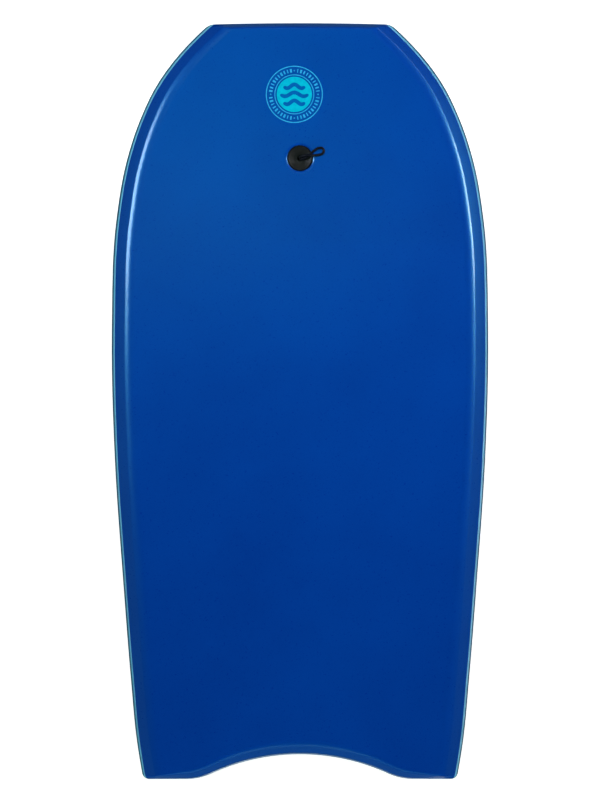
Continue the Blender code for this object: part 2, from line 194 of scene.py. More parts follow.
# The looks: tones from 0 to 255, sizes in metres.
SHARP_ANGLE, FINE_SHARP_ANGLE = 40, 35  # degrees between faces that keep a sharp edge
WELD, INK_WELD = 0.001 * MM, 0.002 * MM
BLUE_SHEEN = (0.08, 0.85, 1, 1)
INK_SHEEN = (0.1, 0.8, 1, 1)
PLAIN_SHEEN = (1, 1, 1, 1)
FOAMS = {  # dark and light tone, roughness, pebble size and depth, specular level and tint
    "deck_foam": ((0, 53, 152), (0, 59, 161), 0.32, 2.4 * MM, 0.05 * MM, 0.5, BLUE_SHEEN),
    "edge_foam": ((6, 70, 140), (10, 78, 150), 0.35, 2.4 * MM, 0.06 * MM, 0.4, BLUE_SHEEN),
    "rail_foam": ((110, 186, 232), (126, 202, 246), 0.45, 1.2 * MM, 0.03 * MM, 0.3, PLAIN_SHEEN),
    # The lower rail is a piece of its own, and its dark teal is painted shade: the rail's outer face
    # turned away from the light.
    "lower_rail_foam": ((8, 76, 114), (14, 86, 126), 0.75, 1.8 * MM, 0.02 * MM, 0.1, BLUE_SHEEN),
    "backing_foam": ((214, 220, 224), (228, 232, 234), 0.6, 1.5 * MM, 0.03 * MM, 0.5, PLAIN_SHEEN),
}
DECK_COAT, DECK_COAT_ROUGHNESS = 0.38, 0.17
LINE_INK = ((34, 142, 210), (50, 158, 222))
CYAN_INK = ((0, 158, 200), (0, 172, 212))
BLUE_INK = ((0, 74, 160), (0, 84, 172))

# The stage.
FLOOR_HALF, FLOOR_DROP = 15.0, 0.5 * MM
FLOOR_TONES = ((0.44, 0.44, 0.44, 1), (0.46, 0.46, 0.46, 1))
FLOOR_GLOW = 0.9
SURROUNDINGS = (  # from the horizon up
    (0.0, (0.05, 0.13, 0.15, 1)), (0.35, (0.03, 0.06, 0.065, 1)), (0.8, (0.01, 0.01, 0.01, 1)),
)
BACKDROP = (0.9, 0.91, 0.92, 1)
CAMERA_PLACE = (0, 0.0018, 20.0)
FRAME_HEIGHT = 1.1298  # metres, measured at FRAME_LEVEL
FRAME_LEVEL = 0.02
SENSOR = 36
VIEW_LIMIT = 50
WHITE, COOL, AQUA = (1, 1, 1), (0.76, 0.79, 0.93), (0.4, 0.9, 1)
TEAL, PALE_TEAL = (0.1, 1, 0.55), (0.7, 1, 0.7)
GLOSS, MATT, BOTH = (True, False), (False, True), (True, True)  # in highlights, in diffuse light
LIGHTS = (  # place, target, width and height, watts, reach, colour
    ("left_softbox", (-1.35, 0.445, 1), (-0.1, 0.25, 0), (0.5, 0.5), 21.5, GLOSS, COOL),
    ("right_softbox", (1.35, 0.43, 0.69), (0.1, 0.3, 0), (0.42, 0.42), 17, GLOSS, WHITE),
    ("right_wash", (1.45, 1.2, 0.8), (0.1, 0.45, 0), (1.1, 0.4), 5, GLOSS, WHITE),
    ("left_fill", (-0.15, 0.4, 0.7), (-0.15, 0.25, 0), (0.5, 0.3), 1.5, MATT, TEAL),
    ("left_low", (-2.2, -0.3, 0.15), (-0.25, -0.3, 0.03), (1.6, 0.2), 4.5, MATT, AQUA),
    ("right_fill", (1.35, 0.43, 0.69), (0.1, 0.3, 0), (0.42, 0.36), 9, MATT, WHITE),
    ("right_low", (2.2, 0.2, 0.15), (0.25, 0.2, 0.03), (2, 0.2), 4.5, MATT, AQUA),
    ("tail_fill", (0, -2.1, 0.55), (0, -0.3, 0), (1.8, 0.6), 32, MATT, PALE_TEAL),
    ("top_fill", (-0.2, 0.9, 1.8), (0, 0, 0), (1.2, 1.2), 27, MATT, WHITE),
    ("under_fill", (0.2, -0.2, -1.8), (0, 0, 0), (1.6, 1.6), 14, BOTH, WHITE),
)


# ------------------------------------------------------------------------------ the board's shape


def side_half_width(distance):
    """Half the board's width at a distance from the tail line."""
    first = SIDE_STATIONS[0][0] * MM
    if distance < first:
        rise = TAIL_CORNER_RADIUS - distance
        return TAIL_CORNER_X + math.sqrt(TAIL_CORNER_RADIUS**2 - rise**2)
    last = len(SIDE_STATIONS) - 1
    span = next((i for i in range(last) if distance <= SIDE_STATIONS[i + 1][0] * MM), None)
    if span is None:
        rise = distance - (LENGTH - NOSE_SAGITTA - NOSE_CORNER_RADIUS)
        return NOSE_CORNER_X + math.sqrt(NOSE_CORNER_RADIUS**2 - rise**2)
    (y0, w0), (y1, w1) = SIDE_STATIONS[span], SIDE_STATIONS[span + 1]
    t = (distance / MM - y0) / (y1 - y0)
    slope0, slope1 = station_slope(span) * (y1 - y0), station_slope(span + 1) * (y1 - y0)
    width = (
        w0 * (2 * t**3 - 3 * t**2 + 1)
        + slope0 * (t**3 - 2 * t**2 + t)
        + w1 * (3 * t**2 - 2 * t**3)
        + slope1 * (t**3 - t**2)
    )
    return width * MM


def station_slope(index):
    """The side's slope at a station: that of the parabola through it and its neighbours."""
    first = min(max(index, 1), len(SIDE_STATIONS) - 2)
    (y0, w0), (y1, w1), (y2, w2) = SIDE_STATIONS[first - 1 : first + 2]
    before, after = (w1 - w0) / (y1 - y0), (w2 - w1) / (y2 - y1)
    bend = (after - before) / (y2 - y0)
    return before + bend * (2 * SIDE_STATIONS[index][0] - y0 - y1)


def tail_edge(share):
    """The tail's distance from its line, at a share of the half width."""
    x = abs(share) * side_half_width(CORNER_LOW)
    if x < CRESCENT_END:
        return CRESCENT_DEPTH - CRESCENT_RADIUS + math.sqrt(CRESCENT_RADIUS**2 - x**2)
    if x < PEG_START:
        return PEG_FILLET - math.sqrt(PEG_FILLET**2 - (PEG_START - x) ** 2)
    reach = max(x - TAIL_CORNER_X, 0)
    return TAIL_CORNER_RADIUS - math.sqrt(TAIL_CORNER_RADIUS**2 - reach**2)


def nose_edge(share):
    """The front edge's distance from the tail line, at a share of the half width."""
    x = abs(share) * side_half_width(CORNER_HIGH)
    reach = max(x - NOSE_CORNER_X, 0)
    drop = NOSE_SAGITTA * min(x / NOSE_CORNER_X, 1) ** 2
    return LENGTH - drop - NOSE_CORNER_RADIUS + math.sqrt(NOSE_CORNER_RADIUS**2 - reach**2)


def slant(function, place, step=0.002):
    """How much longer an inset is along an axis than square to the edge."""
    rise = function(place + step) - function(place - step)
    return math.hypot(1, rise / (2 * step))


def flared(inset, distance):
    """An inset from the side, with what the flare towards the nose adds to it."""
    inwards = (CREST_INSET - inset) / (CREST_INSET - RAIL_EDGE_INSET)
    lift = min(inset / RAIL_EDGE_INSET, max(inwards, 0))
    return inset + NOSE_FLARE * lift * eased((distance - FLARE_FROM) / (FLARE_TO - FLARE_FROM))


def plan_point(column, row, inset, end_inset):
    """A point of the plan, from its shares and its insets from the sides and from the ends."""
    run = nose_edge(column) - tail_edge(column)
    tail_share = TAIL_INSET_SHARE + (PEG_INSET_SHARE - TAIL_INSET_SHARE) * abs(column) ** 3
    low, high = tail_share * end_inset / run, 1 - NOSE_INSET_SHARE * end_inset / run
    along = low + row * (high - low)
    distance = CORNER_LOW + along * (CORNER_HIGH - CORNER_LOW)
    width = side_half_width(distance)
    inside = min(max(distance, SLANT_FROM), SLANT_TO)
    share = column * (1 - flared(inset, distance) * slant(side_half_width, inside) / width)
    return share * width, tail_edge(share) + along * (nose_edge(share) - tail_edge(share))


def rocker(distance):
    """How far the board has curved up at a distance from the tail line."""
    past = max(distance - ROCKER_START, 0) / (LENGTH - ROCKER_START)
    return ROCKER_RISE * past**ROCKER_POWER


def eased(value):
    """A ramp from 0 to 1 with soft ends."""
    held = min(max(value, 0), 1)
    return held * held * (3 - 2 * held)


def channel(column, row):
    """How deep the bottom's channels are at these shares."""
    off = abs(column)
    rise = (off - CHANNEL_EDGE[0]) / (CHANNEL_FLOOR[0] - CHANNEL_EDGE[0])
    fall = (CHANNEL_EDGE[1] - off) / (CHANNEL_EDGE[1] - CHANNEL_FLOOR[1])
    fade = (CHANNEL_FADES_AT - row) / (CHANNEL_FADES_AT - CHANNEL_FULL_TO)
    return CHANNEL_DEPTH * eased(min(rise, fall)) * eased(fade)


def board_point(column, row, inset, end_inset, height):
    """A point of the board from its shares across and along, and its insets and height in mm."""
    x, distance = plan_point(column, row, inset * MM, end_inset * MM)
    z = height * MM + rocker(distance)
    if height < BOTTOM_LEVEL:
        z += channel(column, row)
    return x, distance - LENGTH / 2, z


def deck_height(y):
    return THICKNESS + rocker(y + LENGTH / 2)


# ------------------------------------------------------------------------------ sections and grids


def rounded(corners, closed):
    """The points of a section whose corners are rounded, each to its own radius."""
    points = []
    for index, (corner, radius) in enumerate(corners):
        here = Vector(corner)
        if radius == 0:
            points.append(here)
            continue
        following = corners[(index + 1) % len(corners)] if closed else corners[index + 1]
        before = (Vector(corners[index - 1][0]) - here).normalized()
        after = (Vector(following[0]) - here).normalized()
        half = before.angle(after) / 2
        centre = here + (before + after).normalized() * radius / math.sin(half)
        start = here + before * radius / math.tan(half) - centre
        end = here + after * radius / math.tan(half) - centre
        sweep = math.pi - 2 * half
        for step in range(ARC_STEPS + 1):
            t = step / ARC_STEPS
            arm = start * math.sin((1 - t) * sweep) + end * math.sin(t * sweep)
            points.append(centre + arm / math.sin(sweep))
    return points


def resampled(points, count):
    """The same line with another number of points, evenly spread over its length."""
    lengths = [0.0]
    for a, b in zip(points, points[1:]):
        lengths.append(lengths[-1] + (b - a).length)
    result = []
    for step in range(count):
        place = lengths[-1] * step / (count - 1)
        k = next(i for i in range(len(points) - 1) if place <= lengths[i + 1] + 1e-9)
        t = (place - lengths[k]) / (lengths[k + 1] - lengths[k])
        result.append(points[k].lerp(points[k + 1], min(t, 1)))
    return result


def spread(*stretches):
    """Shares from 0 up, each stretch given by where it ends and its number of steps."""
    shares, start = [0.0], 0.0
    for end, steps in stretches:
        shares += [start + (end - start) * k / steps for k in range(1, steps + 1)]
        start = end
    return shares


HALF_COLUMNS = spread((0.35, 9), (0.43, 8), (0.53, 5), (0.61, 8), (0.97, 12), (1, 8))
COLUMNS = [-c for c in reversed(HALF_COLUMNS[1:])] + HALF_COLUMNS
ROWS = spread((0.006, 6), (0.03, 3), (0.18, 10), (0.34, 14), (0.68, 12), (0.994, 26), (1, 6))


def ring_lines(shares, last):
    """Grid lines as a share and a ring: the rings at both ends, and the last ring in between."""
    edge = [(shares[0], ring) for ring in range(last)]
    return edge + [(s, last) for s in shares] + [(shares[-1], r) for r in reversed(range(last))]


def mesh_piece(name, points, faces):
    mesh = bpy.data.meshes.new(name)
    mesh.from_pydata(points, [], faces)
    mesh.update()
    item = bpy.data.objects.new(name, mesh)
    bpy.context.scene.collection.objects.link(item)
    return item


def shade(item, sharp_angle=SHARP_ANGLE):
    item.data.shade_smooth()
    item.data.set_sharp_from_angle(angle=math.radians(sharp_angle))


def face_outwards(item):
    work = bmesh.new()
    work.from_mesh(item.data)
    bmesh.ops.recalc_face_normals(work, faces=work.faces)
    work.to_mesh(item.data)
    work.free()


def make_layer(name, top_section, under_section):
    """A layer of the board between two surfaces, each given by its section from the edge inwards."""
    top = rounded(top_section, closed=False)
    under = rounded(under_section, closed=False)
    count = max(len(top), len(under), LEAST_RINGS)
    if len(top) < count:
        top = resampled(top, count)
    if len(under) < count:
        under = resampled(under, count)
    columns, rows = ring_lines(COLUMNS, count - 1), ring_lines(ROWS, count - 1)
    points = []
    for rings in (top, under):
        for column, i in columns:
            for row, j in rows:
                points.append(board_point(column, row, rings[i][0], rings[j][0], rings[min(i, j)][1]))
    wide, long = len(columns), len(rows)

    def index(surface, i, j):
        return surface * wide * long + i * long + j

    faces = []
    for i in range(wide - 1):
        for j in range(long - 1):
            square = ((i, j), (i + 1, j), (i + 1, j + 1), (i, j + 1))
            faces.append([index(0, *p) for p in square])
            faces.append([index(1, *p) for p in reversed(square)])
    rim = [(i, 0) for i in range(wide)] + [(wide - 1, j) for j in range(1, long)]
    rim += [(i, long - 1) for i in range(wide - 2, -1, -1)] + [(0, j) for j in range(long - 2, 0, -1)]
    for here, there in zip(rim, rim[1:] + rim[:1]):
        faces.append([index(1, *here), index(1, *there), index(0, *there), index(0, *here)])
    return mesh_piece(name, points, faces)


def strip_stations(shares, length):
    """Stations along a strip, as a share and how far its insets are from its own to the innermost."""
    low, high = shares[0], shares[-1]
    trim = MITRE_TRIM / length * (high - low)
    blends = [k / BLEND_STEPS for k in range(BLEND_STEPS)]
    start = [(low + (trim if blend == 0 else 0), blend) for blend in blends]
    end = [(high - (trim if blend == 0 else 0), blend) for blend in reversed(blends)]
    return start + [(share, 1) for share in shares] + end


def side_strip_point(column, station, inset, height):
    row, blend = station
    return board_point(column, row, inset, inset + (INNERMOST - inset) * blend, height)


def end_strip_point(row, station, inset, height):
    column, blend = station
    return board_point(column, row, inset + (INNERMOST - inset) * blend, inset, height)


def make_strip(name, section, stations, place):
    """A strip along one edge: its rounded section at each station, mitred at both ends."""
    outline = rounded(section, closed=True)
    sides = len(outline)
    points = [place(station, *ring) for station in stations for ring in outline]
    faces = []
    for step in range(len(stations) - 1):
        for k in range(sides):
            here, there = step * sides + k, step * sides + (k + 1) % sides
            faces.append([here, there, there + sides, here + sides])
    last = (len(stations) - 1) * sides
    faces.append(list(range(sides)))
    faces.append([last + k for k in reversed(range(sides))])
    item = mesh_piece(name, points, faces)
    face_outwards(item)
    shade(item)
    return item


# ------------------------------------------------------------------------------ the plug


def plug_frame():
    """The plug's axis: square to the deck, with its origin on the deck's surface."""
    distance = LENGTH - PLUG_FROM_NOSE
    slope = (rocker(distance + MM) - rocker(distance - MM)) / (2 * MM)
    place = Matrix.Translation((0, distance - LENGTH / 2, THICKNESS + rocker(distance)))
    return place @ Matrix.Rotation(math.atan(slope), 4, "X")


def turned(name, section, closed=True):
    """A rounded section turned round the plug's axis."""
    outline = rounded(section, closed)
    sides = len(outline)
    points, faces = [], []
    for step in range(TURN_STEPS):
        angle = WHOLE_TURN * step / TURN_STEPS
        points += [
            (r * MM * math.cos(angle), r * MM * math.sin(angle), h * MM) for r, h in outline
        ]
    spans = sides if closed else sides - 1
    for step in range(TURN_STEPS):
        here, there = step * sides, (step + 1) % TURN_STEPS * sides
        for k in range(spans):
            m = (k + 1) % sides
            faces.append([here + k, here + m, there + m, there + k])
    item = mesh_piece(name, points, faces)
    work = bmesh.new()
    work.from_mesh(item.data)
    bmesh.ops.remove_doubles(work, verts=work.verts, dist=WELD)
    bmesh.ops.recalc_face_normals(work, faces=work.faces)
    work.to_mesh(item.data)
    work.free()
    item.data.transform(plug_frame())
    shade(item, FINE_SHARP_ANGLE)
    return item


def cut(item, cutter):
    modifier = item.modifiers.new("plug_hole", "BOOLEAN")
    modifier.operation = "DIFFERENCE"
    modifier.solver = "EXACT"
    modifier.object = cutter
    bpy.context.view_layer.update()
    graph = bpy.context.evaluated_depsgraph_get()
    result = bpy.data.meshes.new_from_object(item.evaluated_get(graph))
    item.modifiers.clear()
    item.data = result


# ------------------------------------------------------------------------------ the string


def smooth_route(points, step):
    """Points on a Catmull-Rom curve through the given ones, a step apart."""
    ends = [2 * points[0] - points[1]] + list(points) + [2 * points[-1] - points[-2]]
    fine = []
    for span in range(len(points) - 1):
        a, b, c, d = ends[span : span + 4]
        for k in range(SPAN_STEPS):
            t = k / SPAN_STEPS
            fine.append(
                (2 * b + (c - a) * t + (2 * a - 5 * b + 4 * c - d) * t**2
                 + (3 * b - a - 3 * c + d) * t**3) / 2
            )
    fine.append(points[-1])
    length = sum((b - a).length for a, b in zip(fine, fine[1:]))
    return resampled(fine, max(int(length / step), 2) + 1)


def braid(angle, along):
    """The height of a braid's surface, from 0 in its valleys to 1 on its strands."""
    turn = WHOLE_TURN * along / BRAID_PITCH
    first = abs(math.cos(BRAID_STRANDS * (angle + turn)))
    second = abs(math.cos(BRAID_STRANDS * (angle - turn)))
    over = 0.5 + 0.5 * math.sin(BRAID_STRANDS * angle) * math.sin(BRAID_STRANDS * turn)
    return first**STRAND_SHAPE * over + second**STRAND_SHAPE * (1 - over)


def make_cord(name, route, closed=False, end_rounds=0):
    """A braided tube along a route. Its ends are flat, or rounded over a few of the last rings."""
    points, faces = [], []
    count = len(route)
    normal = None
    along = 0
    for index, here in enumerate(route):
        before = route[index - 1] if index or closed else here
        after = route[(index + 1) % count] if index < count - 1 or closed else here
        tangent = (after - before).normalized()
        if normal is None:
            normal = tangent.orthogonal().normalized()
        normal = (normal - tangent * normal.dot(tangent)).normalized()
        side = tangent.cross(normal)
        from_end = min(index, count - 1 - index)
        shrink = 1
        if end_rounds and from_end < end_rounds:
            shrink = math.sqrt(1 - (1 - (from_end + 0.5) / end_rounds) ** 2)
        for k in range(CORD_SIDES):
            angle = WHOLE_TURN * k / CORD_SIDES
            radius = STRING_DIAMETER / 2 + BRAID_DEPTH * (braid(angle, along) - BRAID_MEAN)
            arm = normal * math.cos(angle) + side * math.sin(angle)
            points.append(here + arm * radius * shrink)
        if index < count - 1:
            along += (route[index + 1] - here).length
    rings = count if closed else count - 1
    for index in range(rings):
        here, there = index * CORD_SIDES, (index + 1) % count * CORD_SIDES
        for k in range(CORD_SIDES):
            m = (k + 1) % CORD_SIDES
            faces.append([here + k, here + m, there + m, there + k])
    if not closed:
        faces.append(list(reversed(range(CORD_SIDES))))
        faces.append([(count - 1) * CORD_SIDES + k for k in range(CORD_SIDES)])
    item = mesh_piece(name, points, faces)
    face_outwards(item)
    item.data.shade_smooth()
    return item


def make_string():
    """The doubled string through the plug, the knot under it and the knot's two ends."""
    place = plug_frame() @ Matrix.Rotation(LOOP_HEADING, 4, "Z")
    into_knot = Vector((0, 0, -KNOT_REACH))
    points = [Vector(p) * MM for p in STRING_ROUTE]
    points = [points[0] + into_knot, *points, points[-1] + into_knot]
    route = smooth_route([place @ point for point in points], ROUTE_STEP)
    string = make_cord("braided_string", route)

    def trefoil(step):
        t = WHOLE_TURN * step / KNOT_POINTS
        x = math.sin(t) + 2 * math.sin(2 * t)
        y = math.cos(t) - 2 * math.cos(2 * t)
        return place @ Vector((KNOT_SIZE * x, KNOT_SIZE * y, KNOT_HEIGHT - KNOT_RISE * math.sin(3 * t)))

    knot = make_cord("overhand_knot", [trefoil(step) for step in range(KNOT_POINTS)], closed=True)
    ends = []
    for name, points in KNOT_ENDS:
        line = smooth_route([place @ (Vector(p) * MM) for p in points], ROUTE_STEP)
        ends.append(make_cord(name, line, end_rounds=END_ROUNDS))
    return string, route, knot, ends


# ------------------------------------------------------------------------------ the badge


def film(name, patches, layer=0):
    """A film of ink on the deck: closed flat patches, each a grid of plan points about the badge."""
    bottom = INK_LIFT + 2 * INK_THICKNESS * layer
    points, faces = [], []
    middle_y = LENGTH / 2 - BADGE_FROM_NOSE
    for grid, ring in patches:
        start, wide, long = len(points), len(grid), len(grid[0])
        for lift in (bottom + INK_THICKNESS, bottom):
            for line in grid:
                for x, y in line:
                    place = middle_y + y * MM
                    points.append((BADGE_X + x * MM, place, deck_height(place) + lift))

        def index(surface, i, j):
            return start + surface * wide * long + (i % wide) * long + j

        lines = wide if ring else wide - 1
        for i in range(lines):
            for j in range(long - 1):
                square = ((i, j), (i + 1, j), (i + 1, j + 1), (i, j + 1))
                faces.append([index(0, *p) for p in square])
                faces.append([index(1, *p) for p in reversed(square)])
            for j in (0, long - 1):
                faces.append([index(0, i, j), index(0, i + 1, j), index(1, i + 1, j), index(1, i, j)])
        if not ring:
            for i in (0, wide - 1):
                for j in range(long - 1):
                    faces.append(
                        [index(0, i, j), index(0, i, j + 1), index(1, i, j + 1), index(1, i, j)]
                    )
    item = mesh_piece(name, points, faces)
    work = bmesh.new()
    work.from_mesh(item.data)
    bmesh.ops.remove_doubles(work, verts=work.verts, dist=INK_WELD)
    bmesh.ops.dissolve_degenerate(work, edges=work.edges, dist=WELD)
    bmesh.ops.recalc_face_normals(work, faces=work.faces)
    work.to_mesh(item.data)
    work.free()
    shade(item)
    return item


def ring_patch(inner, outer, steps=128, across=2):
    grid = []
    for step in range(steps):
        angle = WHOLE_TURN * step / steps
        radii = [inner + (outer - inner) * k / across for k in range(across + 1)]
        grid.append([(r * math.cos(angle), r * math.sin(angle)) for r in radii])
    return grid, True


def dot_patch(x, y):
    """A dot, as a ring round a centre too small to see."""
    grid = []
    for step in range(DOT_STEPS):
        angle = WHOLE_TURN * step / DOT_STEPS
        grid.append([(x + r * math.cos(angle), y + r * math.sin(angle)) for r in DOT_RADII])
    return grid, True


def bar_patch(middle, wide):
    """A bar of the badge's band, given by the angles of its middle and its width."""
    grid = []
    for step in range(BAR_STEPS + 1):
        angle = middle + wide * (step / BAR_STEPS - 0.5)
        grid.append([(r * math.cos(angle), r * math.sin(angle)) for r in BAR_RADII])
    return grid, False


def wave_patch(level, half_length, thickness, height):
    """A wave of even width with rounded ends."""
    grid = []
    for step in range(WAVE_STEPS + 1):
        t = 2 * step / WAVE_STEPS - 1
        middle = Vector((half_length * t, level + height * math.cos(t * WAVE_TURN)))
        slope = -height * WAVE_TURN * math.sin(t * WAVE_TURN) / half_length
        arm = Vector((-slope, 1)).normalized() * 0.5 * thickness * math.sqrt(max(1 - t**10, 0.002))
        grid.append([tuple(middle + arm * side) for side in (-1, 0, 1)])
    return grid, False


# ------------------------------------------------------------------------------ materials


def linear(channel_value):
    share = channel_value / 255
    return share / 12.92 if share <= 0.04045 else ((share + 0.055) / 1.055) ** 2.4


def rgb(red, green, blue):
    return (linear(red), linear(green), linear(blue), 1)


def node(tree, kind, settings=(), **inputs):
    """A shader node with its settings and its inputs, which are values or other nodes' sockets."""
    made = tree.nodes.new("ShaderNode" + kind)
    for name, value in dict(settings).items():
        setattr(made, name, value)
    for name, value in inputs.items():
        socket = made.inputs[name.replace("_", " ")]
        if isinstance(value, bpy.types.NodeSocket):
            tree.links.new(value, socket)
        else:
            socket.default_value = value
    return made


def ramp(tree, factor, *stops):
    made = node(tree, "ValToRGB", Fac=factor)
    elements = made.color_ramp.elements
    while len(elements) < len(stops):
        elements.new(0.5)
    for element, (position, colour) in zip(elements, stops):
        element.position = position
        element.color = colour
    return made.outputs["Color"]


def noise(tree, coordinates, size, detail=2.0, roughness=0.5):
    """Noise whose features are about a size apart."""
    made = node(
        tree, "TexNoise", Vector=coordinates, Scale=1 / size, Detail=detail, Roughness=roughness
    )
    return made.outputs["Fac"]


def spanned(tree, value, low, high, from_low=0.3, from_high=0.7):
    made = node(tree, "MapRange", Value=value, From_Min=from_low, From_Max=from_high)
    made.inputs["To Min"].default_value = low
    made.inputs["To Max"].default_value = high
    return made.outputs["Result"]


def bump(tree, height, depth, normal=None):
    made = node(tree, "Bump", Height=height, Distance=depth, Strength=1.0)
    if normal is not None:
        tree.links.new(normal, made.inputs["Normal"])
    return made.outputs["Normal"]


def start_material(name):
    made = bpy.data.materials.new(name)
    made.use_nodes = True
    tree = made.node_tree
    coordinates = node(tree, "TexCoord").outputs["Object"]
    return made, tree, tree.nodes["Principled BSDF"], coordinates


def finish_material(tree, shader, colour, roughness, normal, specular=0.5, tint=PLAIN_SHEEN):
    tree.links.new(colour, shader.inputs["Base Color"])
    tree.links.new(roughness, shader.inputs["Roughness"])
    tree.links.new(normal, shader.inputs["Normal"])
    shader.inputs["Specular IOR Level"].default_value = specular
    shader.inputs["Specular Tint"].default_value = tint


def add_clear_coat(material, weight, roughness):
    shader = material.node_tree.nodes["Principled BSDF"]
    shader.inputs["Coat Weight"].default_value = weight
    shader.inputs["Coat Roughness"].default_value = roughness


def foam(name, dark, light, roughness, pebble, pebble_depth, specular, tint):
    """Closed-cell foam skin: fine pebble grain, soft dents and slightly uneven colour."""
    made, tree, shader, coordinates = start_material(name)
    blotches = noise(tree, coordinates, size=0.12, detail=3)
    speckle = noise(tree, coordinates, size=pebble)
    both = node(tree, "Mix", Factor=0.35, A=blotches, B=speckle).outputs["Result"]
    colour = ramp(tree, both, (0.34, rgb(*dark)), (0.66, rgb(*light)))
    rough = spanned(tree, speckle, low=roughness - 0.05, high=roughness + 0.07)
    dents = bump(tree, noise(tree, coordinates, size=0.035), depth=0.25 * MM)
    grain = bump(tree, speckle, pebble_depth, dents)
    fine = noise(tree, coordinates, size=pebble / 4, detail=1)
    cells = bump(tree, fine, depth=pebble_depth / 5, normal=grain)
    finish_material(tree, shader, colour, rough, cells, specular, tint)
    return made


def beads(name):
    """Moulded bead foam: pale cells with dark joints between them."""
    made, tree, shader, coordinates = start_material(name)
    bead = 0.0045
    cells = node(
        tree, "TexVoronoi", {"feature": "DISTANCE_TO_EDGE"}, Vector=coordinates, Scale=1 / bead
    )
    distance = cells.outputs["Distance"]
    colour = ramp(tree, distance, (0.0, rgb(196, 200, 200)), (0.12, rgb(240, 241, 238)))
    rough = spanned(tree, noise(tree, coordinates, size=0.01), low=0.65, high=0.85)
    joints = spanned(tree, distance, low=0, high=1, from_low=0, from_high=0.2)
    normal = bump(tree, joints, depth=0.3 * MM)
    finish_material(tree, shader, colour, rough, normal)
    return made


def slick(name):
    """Glossy bottom skin, with fine scratches along the board."""
    made, tree, shader, coordinates = start_material(name)
    stretched = node(tree, "Mapping", Vector=coordinates)
    stretched.inputs["Scale"].default_value = (1, 0.012, 1)
    scratches = noise(tree, stretched.outputs["Vector"], size=0.0009, detail=3, roughness=0.65)
    cloud = noise(tree, coordinates, size=0.2, detail=3)
    colour = ramp(tree, cloud, (0.35, rgb(72, 158, 206)), (0.65, rgb(92, 176, 220)))
    rough = spanned(tree, scratches, low=0.2, high=0.38, from_low=0.35, from_high=0.75)
    ripples = bump(tree, noise(tree, coordinates, size=0.05), depth=0.2 * MM)
    normal = bump(tree, scratches, depth=0.02 * MM, normal=ripples)
    finish_material(tree, shader, colour, rough, normal)
    return made


def plastic(name):
    """Moulded black plastic with a fine spark finish and a few rubbed spots."""
    made, tree, shader, coordinates = start_material(name)
    fine = noise(tree, coordinates, size=0.0006)
    rubbed = noise(tree, coordinates, size=0.008, detail=4, roughness=0.6)
    colour = ramp(tree, rubbed, (0.35, rgb(12, 13, 14)), (0.7, rgb(25, 23, 24)))
    rough = spanned(tree, rubbed, low=0.38, high=0.54)
    normal = bump(tree, fine, depth=0.03 * MM)
    finish_material(tree, shader, colour, rough, normal, specular=0.4)
    return made


def nylon(name):
    """Black braided nylon: fine filaments with a soft sheen."""
    made, tree, shader, coordinates = start_material(name)
    filaments = noise(tree, coordinates, size=0.00025)
    worn = noise(tree, coordinates, size=0.004, detail=3)
    colour = ramp(tree, worn, (0.3, rgb(2, 4, 12)), (0.75, rgb(7, 9, 22)))
    rough = spanned(tree, filaments, low=0.5, high=0.75)
    normal = bump(tree, filaments, depth=0.03 * MM)
    finish_material(tree, shader, colour, rough, normal, specular=0.2)
    shader.inputs["Sheen Weight"].default_value = 0.02
    shader.inputs["Sheen Roughness"].default_value = 0.4
    return made


def ink(name, dark, light):
    """Screen-printed ink: it follows the foam's grain and is thinner in places."""
    made, tree, shader, coordinates = start_material(name)
    speckle = noise(tree, coordinates, size=0.0024)
    thin = noise(tree, coordinates, size=0.006, detail=3)
    colour = ramp(tree, thin, (0.3, rgb(*dark)), (0.62, rgb(*light)))
    rough = spanned(tree, speckle, low=0.4, high=0.52)
    normal = bump(tree, speckle, depth=0.1 * MM)
    finish_material(tree, shader, colour, rough, normal, specular=0.4, tint=INK_SHEEN)
    return made


def floor_material():
    """A white sweep that glows to the eye and can be seen through from below."""
    made, tree, shader, coordinates = start_material("pale_floor")
    cloud = noise(tree, coordinates, size=0.8)
    colour = ramp(tree, cloud, (0.3, FLOOR_TONES[0]), (0.7, FLOOR_TONES[1]))
    tree.links.new(colour, shader.inputs["Base Color"])
    shader.inputs["Roughness"].default_value = 0.9
    shader.inputs["Specular IOR Level"].default_value = 0.1
    shader.inputs["Emission Color"].default_value = (1, 1, 1, 1)
    seen = node(tree, "LightPath").outputs["Is Camera Ray"]
    glow = node(tree, "Math", {"operation": "MULTIPLY"})
    tree.links.new(seen, glow.inputs[0])
    glow.inputs[1].default_value = FLOOR_GLOW
    tree.links.new(glow.outputs["Value"], shader.inputs["Emission Strength"])
    sides = node(tree, "MixShader", Fac=node(tree, "NewGeometry").outputs["Backfacing"])
    tree.links.new(shader.outputs["BSDF"], sides.inputs[1])
    tree.links.new(node(tree, "BsdfTransparent").outputs["BSDF"], sides.inputs[2])
    tree.links.new(sides.outputs["Shader"], tree.nodes["Material Output"].inputs["Surface"])
    return made


# ------------------------------------------------------------------------------ the stage


def make_floor():
    signs = ((-1, -1), (1, -1), (1, 1), (-1, 1))
    corners = [(x * FLOOR_HALF, y * FLOOR_HALF, -FLOOR_DROP) for x, y in signs]
    floor = mesh_piece("floor", corners, [[0, 1, 2, 3]])
    floor.data.materials.append(floor_material())
    floor.visible_glossy = False
    floor.visible_shadow = False


def make_light(name, place, target, size, power, reach, colour):
    """A rectangular softbox, which can be left out of the highlights or out of the diffuse light."""
    data = bpy.data.lights.new(name, "AREA")
    data.shape = "RECTANGLE"
    data.size, data.size_y = size
    data.energy = power
    data.color = colour
    light = bpy.data.objects.new(name, data)
    bpy.context.scene.collection.objects.link(light)
    light.location = place
    light.rotation_euler = (Vector(target) - Vector(place)).to_track_quat("-Z", "Y").to_euler()
    light.visible_glossy, light.visible_diffuse = reach


